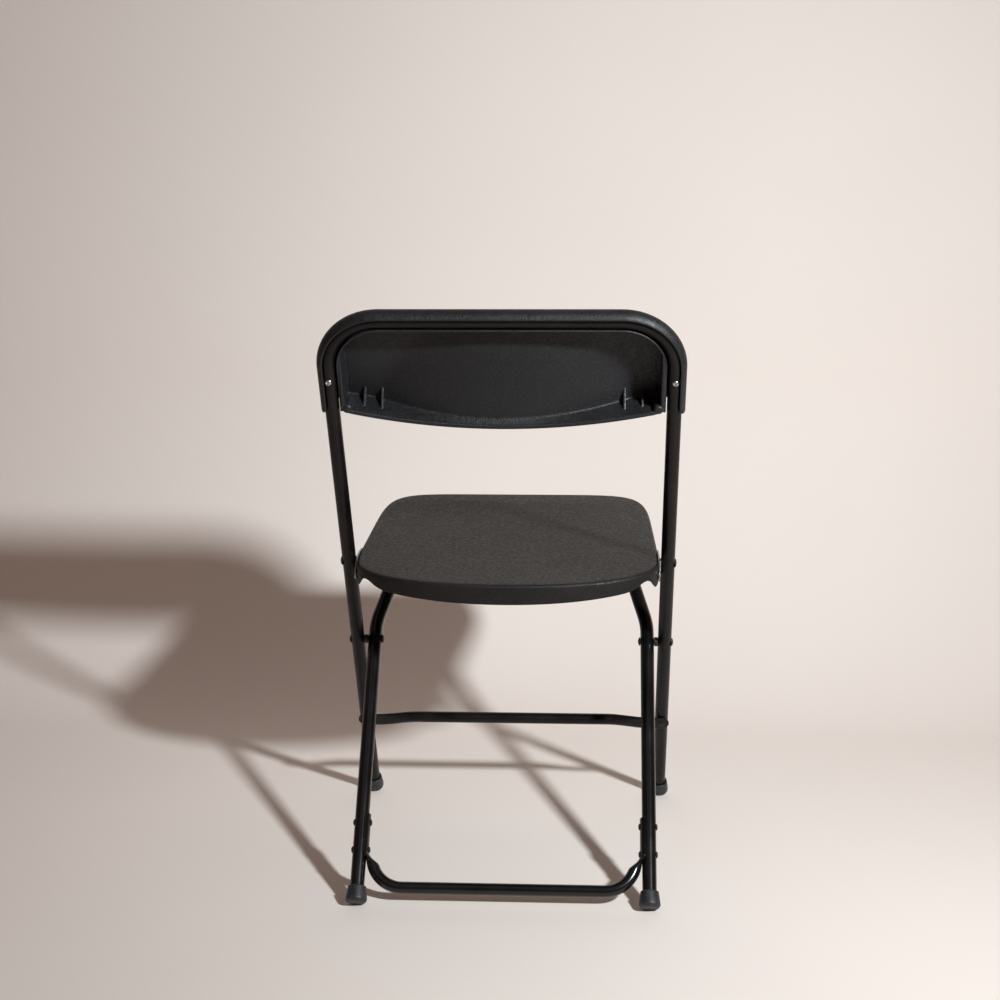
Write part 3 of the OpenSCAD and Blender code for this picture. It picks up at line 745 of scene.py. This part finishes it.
def seat_body():
    """Rows of points from the middle of the top, over the edge, down and up the skirt, to the underside."""
    n = len(OUTLINE)
    verts, rows = [], []

    def row(points, z):
        rows.append(len(verts))
        verts.extend(np.column_stack([points, z * np.ones(n) if np.isscalar(z) else z]))

    middle = np.array([0, -0.080])
    inner = inset_outline(SEAT_EDGE_R)
    for k in np.concatenate([[0.004], np.linspace(0.08, 1, 22)]):
        p = middle + (inner - middle) * k
        row(p, SEAT_TOP - dish(p[:, 0], p[:, 1]))
    rim_drop = dish(inner[:, 0], inner[:, 1])
    for a in np.linspace(0, math.pi / 2, 9)[1:]:
        row(inset_outline(SEAT_EDGE_R * (1 - math.sin(a))),
            SEAT_TOP - rim_drop * (1 - smoothstep(a / 2)) - SEAT_EDGE_R * (1 - math.cos(a)))
    low = skirt_low(OUTLINE)
    lip, inner_lip = 0.0009, 0.0014             # rounding of the skirt's lower edge, outside and inside
    top_z = SEAT_TOP - SEAT_EDGE_R - rim_drop * (1 - smoothstep(math.pi / 4))
    for k in (0.35, 0.7, 1.0):
        row(OUTLINE, top_z + (low + lip - top_z) * k)
    for a in np.linspace(0, math.pi, 7)[1:]:
        inset = lip * (1 - math.cos(min(a, math.pi / 2))) + inner_lip * max(0, -math.cos(a))
        row(inset_outline(inset), low + lip - lip * math.sin(a))
    ceiling, inner_r = SEAT_TOP - SEAT_WALL, 0.002
    for k in (0.4, 0.8):
        row(inset_outline(0.0025 + 0.0007 * k), low + lip + (ceiling - inner_r - low - lip) * k)
    for a in np.linspace(0, math.pi / 2, 5):
        row(inset_outline(SEAT_WALL + inner_r * (1 - math.cos(a))),
            ceiling - inner_r + inner_r * math.sin(a) - rim_drop)
    under = inset_outline(SEAT_WALL + inner_r)
    for k in np.concatenate([np.linspace(1, 0.08, 14)[1:], [0.004]]):
        p = middle + (under - middle) * k
        row(p, ceiling - dish(p[:, 0], p[:, 1]))
    faces = []
    for a, b in zip(rows[:-1], rows[1:]):
        faces += quads(a, b, n)
    return verts, faces + [tuple(range(n)), tuple(range(rows[-1], rows[-1] + n))]


def half_width(y):
    """Half width of the hollow under the seat at y."""
    k = np.argsort(HALF_OUTLINE[:, 1])
    return float(np.interp(y, HALF_OUTLINE[k, 1], HALF_OUTLINE[k, 0])) - SEAT_WALL


def reach(x):
    """Front and rear ends of the hollow under the seat at that distance from the middle."""
    inside = HALF_OUTLINE[HALF_OUTLINE[:, 0] > x]
    return inside[:, 1].min() + SEAT_WALL, inside[:, 1].max() - SEAT_WALL


def seat():
    verts, faces = seat_body()
    b = Build()
    b.verts = list(SEAT.place(np.array(verts)))
    b.faces = faces
    finish_piece(b.piece("seat_moulding", 42), "seat", "seat_plastic", SEAT_PLASTIC, "seat_shell")
    ribs = Build()
    half_t = 0.0012
    top = SEAT_TOP - SEAT_WALL
    for x in (0.030, 0.112, 0.150):
        front, rear = reach(x)
        ribs.both_sides(SEAT, rib_rings((x, front), (x, rear), half_t, top))
    for s in range(-84, 263, 52):
        y = -s * 0.001
        w = half_width(y)
        ribs.rings(SEAT, rib_rings((-w, y), (w, y), half_t, top))
    bed_low, bed_top = -0.0105, top - 0.0042
    for side in SIDES:
        ribs.box(SEAT, (side * RAIL_AT - RAIL_HALF, RAIL_FROM, bed_low),
                 (side * RAIL_AT + RAIL_HALF, RAIL_TO, bed_top), 0.0008)
    finish_piece(ribs.piece("seat_ribs", 30), "seat", "seat_plastic", SEAT_PLASTIC)


def rib_rings(start, end, t, top):
    """Thin drafted rib with a rounded lower edge, from start to end in plan."""
    start, end = np.array(start), np.array(end)
    along = (end - start) / np.linalg.norm(end - start)
    across = np.array([-along[1], along[0]])
    section = [(-t * 1.25, top), (-t * 0.85, RIB_LOW + 0.0006), (-t * 0.4, RIB_LOW), (t * 0.4, RIB_LOW),
               (t * 0.85, RIB_LOW + 0.0006), (t * 1.25, top)]
    rings = []
    for k in np.linspace(0, 1, 25):
        p = start + (end - start) * k
        sink = float(dish(p[0], p[1]))
        rings.append([(*(p + across * a), z - (sink if z == top else 0)) for a, z in section])
    return rings


seat()


# ---------- seat brackets and glide rails ----------
def plate(b, axes, outline, x, thick):
    """Flat plate standing across x, with its edges broken."""
    bevel = 0.0004
    outline = np.array(outline, float)
    middle = outline.mean(0)
    rings = []
    for dx, inset in ((0, bevel), (bevel, 0), (thick - bevel, 0), (thick, bevel)):
        p = outline + (middle - outline) / np.linalg.norm(middle - outline, axis=1)[:, None] * inset
        rings.append([(x + dx, y, z) for y, z in p])
    b.rings(axes, rings)


def rounded(points, r, steps=5):
    """Outline with its corners rounded."""
    points = [np.array(p, float) for p in points]
    out = []
    for i, p in enumerate(points):
        q, s = points[i - 1], points[(i + 1) % len(points)]
        u, w = (q - p) / np.linalg.norm(q - p), (s - p) / np.linalg.norm(s - p)
        k = min(r, 0.45 * np.linalg.norm(q - p), 0.45 * np.linalg.norm(s - p))
        for t in np.linspace(0, 1, steps):
            out.append(p + u * k * (1 - t) ** 2 + w * k * t ** 2)
    return out


def brackets():
    outline = rounded([(-0.044, -0.008), (-0.044, 0.004), (-0.011, 0.009), (0.011, 0.009),
                       (0.034, -0.003), (0.034, -0.016), (0.022, -0.018)], 0.005)
    x = SEAT_HALF + TURN_GAP
    heads = Build()
    for side, word in zip(SIDES, ("left", "right")):
        b = Build()
        plate(b, SEAT, outline, x if side > 0 else -x - BRACKET_T, BRACKET_T)
        finish_piece(b.piece(f"{word}_bracket_plate", 30), "seat", "bracket_steel", SHADED_BRACKET_ZINC,
                     f"{word}_seat_bracket")
        for y, z in ((0.024, -0.009), (-0.033, -0.002)):
            rivet(heads, SEAT, (side * (SEAT_HALF - SEAT_WALL), y, z),
                  (side * (x + 0.9 * BRACKET_T), y, z), SMALL_SHANK_R, 0.004, 0.0013)
    finish_piece(heads.piece("seat_bracket_rivet_set", 35), "seat", "zinc_hardware", ZINC,
                 "seat_bracket_rivets")


def glide_rails():
    low, thick, drop, bevel = -0.0135, 0.003, 0.015, 0.0006
    profile = [(0.00005, 0.0010), (0.0012, 0.0010), (0.0014, 0.0001), (0.0038, 0.0001), (0.0039, 0.0003),
               (0.002, 0.0021), (0.002, 0.016)]         # a countersunk screw with a socket, head first
    screws = Build()
    for side, word in zip(SIDES, ("left", "right")):
        b = Build()
        middle = side * RAIL_AT
        left, right = middle - RAIL_HALF, middle + RAIL_HALF
        b.box(SEAT, (left, RAIL_FROM, low), (right, RAIL_TO, low + thick), bevel)
        for y in (RAIL_FROM, RAIL_TO - thick):          # turned-down ends that stop the crossbar
            b.box(SEAT, (left, y, low - drop), (right, y + thick, low + thick - 0.0005), bevel)
        finish_piece(b.piece(f"{word}_rail", 30), "seat", "bracket_steel", SHADED_BRACKET_ZINC,
                     f"{word}_glide_rail")
        for y in (-0.050, -0.142):
            screws.lathe(SEAT, (middle, y, low), (0, 0, 1), profile, around(32))
    finish_piece(screws.piece("glide_rail_screw_set", 30), "seat", "zinc_hardware", ZINC,
                 "glide_rail_screws")


brackets()
glide_rails()


# ---------- backrest ----------
RIM_R = 0.014
BACK_WALL = 0.0032
RIM_LOW = 0.722
RIM_WRAP = math.radians(54)
NOSE = np.array([-0.0104, -0.0282])         # centre of the rounded front edge of the rim section
NOSE_R = 0.0036
BORDER = -0.0318            # front face of the panel at its sides
BOW_R = 0.538
PANEL_TILT = math.tan(math.radians(10))
PANEL_LOW = 0.697
FLANGE_BACK = 0.009
EDGE_CORNER_R = 0.006
CHEEK_IN = 0.1998
CHEEK_FRONT = -0.0315
PANEL_SIDE = HALF_UP - RIM_R + BACK_WALL / 2            # middle of the rim's inner wall
PANEL_CORNER_R = HOOP_BEND_R - RIM_R + BACK_WALL / 2
BEND_FROM = HOOP_LEN - HOOP_BEND_R                      # where the hoop starts to bend


def arc(centre, r, start, end, count):
    return [centre + r * np.array([math.cos(a), math.sin(a)]) for a in np.linspace(start, end, count)]


def rim_section(wrap, thin):
    """Section round the tube, drawn forward to the panel: x outward from the hoop, y backward."""
    mid, half = RIM_R - BACK_WALL / 2, BACK_WALL / 2 * thin
    turn = math.radians(-40.5)
    line = arc(np.zeros(2), mid, wrap, turn, 18)
    start, end = line[-1], NOSE + (NOSE_R - BACK_WALL / 2) * np.array([math.cos(turn), math.sin(turn)])
    line += [start + (end - start) * t for t in (0.33, 0.67)]
    line += arc(NOSE, NOSE_R - BACK_WALL / 2, turn, -math.pi, 8)
    line += [np.array([-RIM_R + BACK_WALL / 2, y]) for y in (-0.021, -0.010, -0.003, 0.001, 0.0045)]
    line = np.array(line)
    along = np.gradient(line, axis=0)
    along /= np.linalg.norm(along, axis=1)[:, None]
    side = np.column_stack([-along[:, 1], along[:, 0]])
    left, right = line + side * half, line - side * half
    start, end = -along[0] * half, along[-1] * half
    lips = np.linspace(0, math.pi, 6)[1:-1]
    first = [line[0] + start * math.sin(a) - side[0] * half * math.cos(a) for a in lips]
    last = [line[-1] + end * math.sin(a) + side[-1] * half * math.cos(a) for a in lips]
    return [tuple(p) for p in list(left) + list(last) + list(right[::-1]) + list(first)]


def backrest_rim(b):
    """Rim that follows the hoop, with rounded lower ends whose rear lip curves away."""
    path = bent_path([(-HALF_UP, RIM_LOW), (-HALF_UP, HOOP_LEN), (HALF_UP, HOOP_LEN),
                      (HALF_UP, RIM_LOW)], [HOOP_BEND_R] * 2, math.radians(2.5))
    ends = RIM_LOW + np.array([0.0001, 0.0004, 0.0009, 0.0016, 0.0028, 0.0045, 0.0065, 0.0090, 0.012])
    first = [(-HALF_UP, z) for z in ends]
    last = [(HALF_UP, z) for z in ends[::-1]]
    path = np.array(first + [tuple(p) for p in path[1:-1]] + last)

    def section(p):
        up = max(0.0, p[1] - RIM_LOW)
        curl = math.sqrt(max(0.0, 1 - (1 - min(up / 0.0085, 1)) ** 2))
        thin = math.sqrt(max(0.002, 1 - (1 - min(up / 0.0016, 1)) ** 2))
        wrap = math.radians(20) * (1 - curl) + RIM_WRAP * curl
        return [(-x, y) for x, y in rim_section(wrap, thin)]

    b.rings(UPRIGHTS, sweep(path, section))


def panel_front(x, z):
    """Front face of the bowed, leaning panel, backward from the line of the tubes."""
    sag = x * x / (2 * BOW_R) * (1 + x * x / (4 * BOW_R ** 2))
    bow = -0.001 - PANEL_TILT * (z - PANEL_LOW) - sag
    soft = 0.0012                               # the bow meets the flat border in a soft crease
    return BORDER + soft * math.log(1 + math.exp(min((bow - BORDER) / soft, 60)))


def lower_edge(x):
    """Height of the panel's lower edge: an arc with a rounded corner at each end."""
    edge_half, drop = 0.200, 0.025
    edge_r = (edge_half ** 2 + drop ** 2) / (2 * drop)
    past = min(EDGE_CORNER_R, max(0.0, abs(x) - (PANEL_SIDE - EDGE_CORNER_R)))
    turned_up = EDGE_CORNER_R - math.sqrt(EDGE_CORNER_R ** 2 - past ** 2)
    return PANEL_LOW + edge_r - math.sqrt(edge_r ** 2 - x ** 2) + turned_up


def quarter(count, start=0.0):
    return np.linspace(start, math.pi / 2, count)


def backrest_panel(b):
    """Bowed panel whose lower edge turns back into a flange."""
    flat = PANEL_SIDE - PANEL_CORNER_R
    xs = np.concatenate([np.linspace(0, flat, 50),
                         flat + PANEL_CORNER_R * np.sin(np.linspace(0, 1.2, 24)[1:]),
                         PANEL_SIDE - EDGE_CORNER_R + EDGE_CORNER_R * np.sin(np.linspace(0.5, 1.5, 8))])
    xs = np.unique(np.round(xs, 6))
    xs = np.concatenate([-xs[:0:-1], xs])
    bend_r, r = 0.0025, 0.0016                  # outer bend at the front, rounding of the flange's lip
    rings = []
    for x in xs:
        low = lower_edge(x)
        over = max(0.0, abs(x) - flat)
        top = BEND_FROM + math.sqrt(max(0.0, PANEL_CORNER_R ** 2 - over ** 2))
        crease = low + 0.0108 - 0.0050 * (x / 0.180) ** 2 + 0.001
        lip = FLANGE_BACK - 0.0012 * smoothstep((abs(x) - 0.190) / 0.014)
        edge_top = min(low + 0.0060, crease - 0.0004)
        front = panel_front(x, low + 0.003)
        ring = [(panel_front(x, z), z) for z in np.linspace(top, low + 0.012, 14)]
        ring += [(panel_front(x, low + 0.0055), low + 0.0055)]
        ring += [(front + bend_r - bend_r * math.cos(a), low + bend_r - bend_r * math.sin(a))
                 for a in quarter(5, 0.25)]
        ring += [(lip - r + r * math.sin(a), low + r - r * math.cos(a)) for a in quarter(5)]
        ring += [(lip - r + r * math.cos(a), edge_top - r + r * math.sin(a)) for a in quarter(5)]
        knee = np.array([panel_front(x, crease) + BACK_WALL, crease])
        edge = np.array([lip - r - 0.0002, edge_top + 0.0001])
        turn = knee + (edge - knee) * min(0.5, 0.0025 / max(np.linalg.norm(edge - knee), 0.001))
        up = np.array([panel_front(x, crease + 0.003) + BACK_WALL, crease + 0.003])
        ring += [tuple(edge + (turn - edge) * t) for t in (0.3, 0.65)]
        ring += [tuple((1 - t) ** 2 * turn + 2 * t * (1 - t) * knee + t ** 2 * up)
                 for t in np.linspace(0, 1, 6)]
        ring += [(panel_front(x, z) + BACK_WALL, z) for z in np.linspace(crease + 0.008, top, 14)]
        rings.append([(x, y, z) for y, z in ring])
    b.rings(UPRIGHTS, rings)


def backrest_cheeks(b):
    """Wall beside each tube that ties the flange to the rim: straight inside, round outside."""
    cheek_low, cheek_high = 0.7245, 0.0895
    rings = []
    for t in np.linspace(0, 1, 34):
        z = cheek_low + cheek_high * t ** 0.8
        over = max(0.0, z - BEND_FROM)
        outer = HALF_UP - HOOP_BEND_R + math.sqrt(PANEL_CORNER_R ** 2 - over ** 2)
        inner = min(CHEEK_IN, outer - 0.0004)
        back = FLANGE_BACK - 0.0012 - 0.0022 * smoothstep(t / 0.9)
        r = min(0.0022, (outer - inner) * 0.48)
        ring = [(outer, CHEEK_FRONT), (outer, back - r)]
        ring += [(outer - r + r * math.cos(a), back - r + r * math.sin(a)) for a in quarter(6)[1:]]
        ring += [(inner + r - r * math.sin(a), back - r + r * math.cos(a)) for a in quarter(6)]
        ring += [(inner, -0.012), (inner, CHEEK_FRONT)]
        rings.append([(x, y, z) for x, y in ring])
    b.both_sides(UPRIGHTS, rings)
    knob = [(0.00005, 0.0206), (0.0040, 0.0204), (0.0056, 0.0196), (0.0063, 0.0180), (0.0064, 0.0160),
            (0.0064, 0.0010)]
    for side in SIDES:                          # rounded boss in each lower corner
        b.lathe(UPRIGHTS, (side * 0.1975, -0.0112, 0.7276), (0, 1, 0), knob, around(32))


def backrest_gussets(b):
    """Two thin drafted plates in each lower corner."""
    for x in (0.155, 0.1775):
        low = lower_edge(x) + 0.002
        knee = low + 0.0035
        back = -0.0040 - 1.45 * max(0.0, knee - 0.722)
        front = panel_front(x, 0.736) + 0.0015
        outline = rounded([(front, low), (back, low), (back, knee), (front + 0.0012, 0.7372),
                           (front, 0.7374)], 0.0010, 4)
        middle = np.mean(outline, axis=0)
        for side in SIDES:
            rings = []
            for dx, inset in ((-0.0012, 0.0004), (-0.0009, 0), (0.0009, 0), (0.0012, 0.0004)):
                rings.append([(side * x + dx, *(p + (middle - p) / np.linalg.norm(middle - p) * inset))
                              for p in outline])
            b.rings(UPRIGHTS, rings)


def backrest():
    b = Build()
    backrest_rim(b)
    backrest_panel(b)
    backrest_cheeks(b)
    backrest_gussets(b)
    finish_piece(b.piece("backrest_moulding", 42), "front_frame", "backrest_plastic", BACK_PLASTIC,
                 "backrest_shell")


backrest()


# ---------- studio ----------
def sweep_backdrop():
    """Seamless paper: flat floor that rises in a wide curve behind the chair."""
    start, radius, high, half = -0.38, 0.52, 2.6, 2.6
    profile = [(3.0, 0.0), (1.5, 0.0), (0.5, 0.0), (start + 0.1, 0.0)]
    profile += [(start - radius * math.sin(a), radius * (1 - math.cos(a)))
                for a in np.linspace(0, math.pi / 2, 40)]
    profile += [(start - radius, high)]
    verts, faces = [], []
    for y, z in profile:
        verts += [(-half, y, z), (half, y, z)]
    for i in range(len(profile) - 1):
        faces.append((2 * i, 2 * i + 1, 2 * i + 3, 2 * i + 2))
    mesh = bpy.data.meshes.new("backdrop")
    mesh.from_pydata(verts, [], faces)
    obj = bpy.data.objects.new("backdrop", mesh)
    bpy.context.scene.collection.objects.link(obj)
    smooth(obj, 60)
    p = Paint("backdrop_paper")
    cloud = p.noise(1.4, 3, 0.5)
    color = p.mix(p.ramp(cloud, 0.3, 0.7), (0.775, 0.705, 0.650), (0.795, 0.725, 0.670))
    p.bump(p.noise(260, 3, 0.6), 0.0004, 0.15)
    obj.data.materials.append(p.done(color, 0.85, Specular_IOR_Level=0.2))


def area_light(name, at, target, size, power, color):
    light = bpy.data.lights.new(name, "AREA")
    light.shape = "DISK"
    light.size = size
    light.energy = power
    light.color = color
    obj = bpy.data.objects.new(name, light)
    bpy.context.scene.collection.objects.link(obj)
    obj.location = at
    obj.rotation_euler = (Vector(target) - Vector(at)).to_track_quat("-Z", "Y").to_euler()
    return obj


def camera():
    yaw, pitch, roll = math.radians(3.206), math.radians(13.779), math.radians(-0.398)
    ahead = Vector((math.sin(yaw) * math.cos(pitch), -math.cos(yaw) * math.cos(pitch), -math.sin(pitch)))
    level = Vector((-math.cos(yaw), -math.sin(yaw), 0))
    above = level.cross(ahead)
    right = math.cos(roll) * level + math.sin(roll) * above
    up = -math.sin(roll) * level + math.cos(roll) * above
    data = bpy.data.cameras.new("camera")
    data.lens = 62.84
    data.sensor_width = 36
    data.dof.use_dof = False
    obj = bpy.data.objects.new("camera", data)
    bpy.context.scene.collection.objects.link(obj)
    obj.matrix_world = Matrix((right, up, -ahead)).transposed().to_4x4()
    obj.location = (-0.11815, 2.33536, 1.06883)
    bpy.context.scene.camera = obj


sweep_backdrop()
camera()
KEY_AT = Vector((-1.200, 1.560, 1.546))
key = area_light("key", KEY_AT, KEY_AT + Vector((0.470, -0.768, -0.435)), 0.17, 31, (0.90, 0.96, 1.0))
key.data.spread = math.radians(112)
area_light("overhead", (0.5, 1.6, 3.4), (0, -0.2, 0.3), 2.6, 4, (0.58, 0.78, 1.0))

world = bpy.data.worlds.new("studio")
world.use_nodes = True
world.node_tree.nodes["Background"].inputs["Color"].default_value = (1.0, 0.55, 0.34, 1)
world.node_tree.nodes["Background"].inputs["Strength"].default_value = 0.12
bpy.context.scene.world = world
bpy.context.scene.view_settings.view_transform = "Standard"
